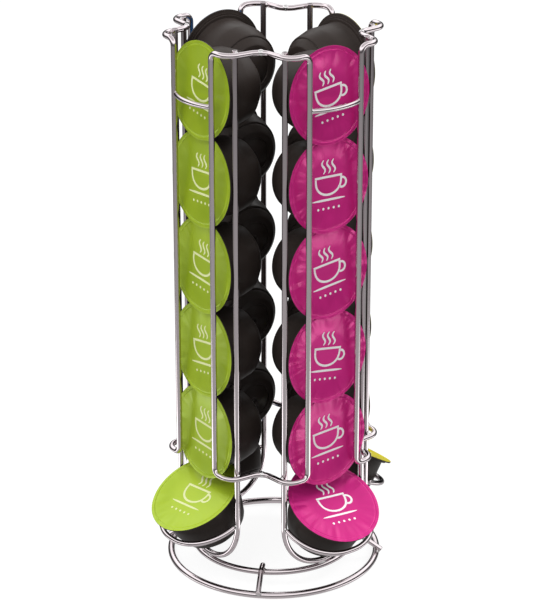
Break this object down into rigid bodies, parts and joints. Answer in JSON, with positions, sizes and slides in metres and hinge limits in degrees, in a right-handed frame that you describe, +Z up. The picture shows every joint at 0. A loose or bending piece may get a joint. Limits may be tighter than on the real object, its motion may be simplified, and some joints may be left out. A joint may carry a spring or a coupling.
{
  "type": "coffee capsule dispenser",
  "caption": "Free-standing tower of chromed wire that holds coffee capsules in upright columns, lids outward, with the lowest capsule of each column tipped out to be taken.",
  "frame": {"origin": "centre of the lower base ring, on the surface that the rack stands on", "axes": "+Z up along the axis of the tower; -Y towards the open gap at the front, between the two columns that are seen from the front; +X towards the gap on the right"},
  "size_m": [0.1284, 0.1284, 0.3135],
  "materials": {
    "chrome_wire": "polished",
    "capsule_cup": "satin",
    "foil_pink": "satin",
    "foil_green": "satin",
    "foil_yellow": "satin",
    "foil_blue": "satin"
  },
  "bodies": {
    "rack": {"lower_base_ring": "chrome_wire", "upper_base_ring": "chrome_wire", "base_strut_front": "chrome_wire", "base_strut_right": "chrome_wire", "base_strut_back": "chrome_wire", "base_strut_left": "chrome_wire", "wave_frame_front": "chrome_wire", "wave_frame_right": "chrome_wire", "wave_frame_back": "chrome_wire", "wave_frame_left": "chrome_wire", "column_rail_front_right": "chrome_wire", "column_rail_back_right": "chrome_wire", "column_rail_back_left": "chrome_wire", "column_rail_front_left": "chrome_wire", "stop_wire_front_right": "chrome_wire", "stop_wire_back_right": "chrome_wire", "stop_wire_back_left": "chrome_wire", "stop_wire_front_left": "chrome_wire", "tie_wire_front_right": "chrome_wire", "tie_wire_back_right": "chrome_wire", "tie_wire_back_left": "chrome_wire", "tie_wire_front_left": "chrome_wire"},
    "front_right_1": {"capsule_front_right_1": "capsule_cup"},
    "front_right_2": {"capsule_front_right_2": "capsule_cup"},
    "front_right_3": {"capsule_front_right_3": "capsule_cup"},
    "front_right_4": {"capsule_front_right_4": "capsule_cup"},
    "front_right_5": {"capsule_front_right_5": "capsule_cup"},
    "front_right_6": {"capsule_front_right_6": "capsule_cup"},
    "back_right_1": {"capsule_back_right_1": "capsule_cup"},
    "back_right_2": {"capsule_back_right_2": "capsule_cup"},
    "back_right_3": {"capsule_back_right_3": "capsule_cup"},
    "back_right_4": {"capsule_back_right_4": "capsule_cup"},
    "back_right_5": {"capsule_back_right_5": "capsule_cup"},
    "back_right_6": {"capsule_back_right_6": "capsule_cup"},
    "back_left_1": {"capsule_back_left_1": "capsule_cup"},
    "back_left_2": {"capsule_back_left_2": "capsule_cup"},
    "back_left_3": {"capsule_back_left_3": "capsule_cup"},
    "back_left_4": {"capsule_back_left_4": "capsule_cup"},
    "back_left_5": {"capsule_back_left_5": "capsule_cup"},
    "back_left_6": {"capsule_back_left_6": "capsule_cup"},
    "front_left_1": {"capsule_front_left_1": "capsule_cup"},
    "front_left_2": {"capsule_front_left_2": "capsule_cup"},
    "front_left_3": {"capsule_front_left_3": "capsule_cup"},
    "front_left_4": {"capsule_front_left_4": "capsule_cup"},
    "front_left_5": {"capsule_front_left_5": "capsule_cup"},
    "front_left_6": {"capsule_front_left_6": "capsule_cup"}
  },
  "joints": [
    {"name": "front_right_1_tip", "type": "hinge", "parent": "rack", "child": "front_right_1", "pos_m": [0.02309, -0.02309, 0.06582], "axis": [-0.7071, -0.7071, 0], "range_deg": [0, 14]},
    {"name": "front_right_2_lift", "type": "slide", "parent": "rack", "child": "front_right_2", "axis": [0, 0, 1], "range_m": [0, 0.049]},
    {"name": "front_right_3_lift", "type": "slide", "parent": "front_right_2", "child": "front_right_3", "axis": [0, 0, 1], "range_m": [0, 0.049]},
    {"name": "front_right_4_lift", "type": "slide", "parent": "front_right_3", "child": "front_right_4", "axis": [0, 0, 1], "range_m": [0, 0.049]},
    {"name": "front_right_5_lift", "type": "slide", "parent": "front_right_4", "child": "front_right_5", "axis": [0, 0, 1], "range_m": [0, 0.049]},
    {"name": "front_right_6_lift", "type": "slide", "parent": "front_right_5", "child": "front_right_6", "axis": [0, 0, 1], "range_m": [0, 0.06]},
    {"name": "back_right_1_tip", "type": "hinge", "parent": "rack", "child": "back_right_1", "pos_m": [0.02309, 0.02309, 0.06582], "axis": [0.7071, -0.7071, 0], "range_deg": [0, 14]},
    {"name": "back_right_2_lift", "type": "slide", "parent": "rack", "child": "back_right_2", "axis": [0, 0, 1], "range_m": [0, 0.049]},
    {"name": "back_right_3_lift", "type": "slide", "parent": "back_right_2", "child": "back_right_3", "axis": [0, 0, 1], "range_m": [0, 0.049]},
    {"name": "back_right_4_lift", "type": "slide", "parent": "back_right_3", "child": "back_right_4", "axis": [0, 0, 1], "range_m": [0, 0.049]},
    {"name": "back_right_5_lift", "type": "slide", "parent": "back_right_4", "child": "back_right_5", "axis": [0, 0, 1], "range_m": [0, 0.049]},
    {"name": "back_right_6_lift", "type": "slide", "parent": "back_right_5", "child": "back_right_6", "axis": [0, 0, 1], "range_m": [0, 0.06]},
    {"name": "back_left_1_tip", "type": "hinge", "parent": "rack", "child": "back_left_1", "pos_m": [-0.02309, 0.02309, 0.06582], "axis": [0.7071, 0.7071, 0], "range_deg": [0, 14]},
    {"name": "back_left_2_lift", "type": "slide", "parent": "rack", "child": "back_left_2", "axis": [0, 0, 1], "range_m": [0, 0.049]},
    {"name": "back_left_3_lift", "type": "slide", "parent": "back_left_2", "child": "back_left_3", "axis": [0, 0, 1], "range_m": [0, 0.049]},
    {"name": "back_left_4_lift", "type": "slide", "parent": "back_left_3", "child": "back_left_4", "axis": [0, 0, 1], "range_m": [0, 0.049]},
    {"name": "back_left_5_lift", "type": "slide", "parent": "back_left_4", "child": "back_left_5", "axis": [0, 0, 1], "range_m": [0, 0.049]},
    {"name": "back_left_6_lift", "type": "slide", "parent": "back_left_5", "child": "back_left_6", "axis": [0, 0, 1], "range_m": [0, 0.06]},
    {"name": "front_left_1_tip", "type": "hinge", "parent": "rack", "child": "front_left_1", "pos_m": [-0.02309, -0.02309, 0.06582], "axis": [-0.7071, 0.7071, 0], "range_deg": [0, 14]},
    {"name": "front_left_2_lift", "type": "slide", "parent": "rack", "child": "front_left_2", "axis": [0, 0, 1], "range_m": [0, 0.049]},
    {"name": "front_left_3_lift", "type": "slide", "parent": "front_left_2", "child": "front_left_3", "axis": [0, 0, 1], "range_m": [0, 0.049]},
    {"name": "front_left_4_lift", "type": "slide", "parent": "front_left_3", "child": "front_left_4", "axis": [0, 0, 1], "range_m": [0, 0.049]},
    {"name": "front_left_5_lift", "type": "slide", "parent": "front_left_4", "child": "front_left_5", "axis": [0, 0, 1], "range_m": [0, 0.049]},
    {"name": "front_left_6_lift", "type": "slide", "parent": "front_left_5", "child": "front_left_6", "axis": [0, 0, 1], "range_m": [0, 0.06]}
  ]
}
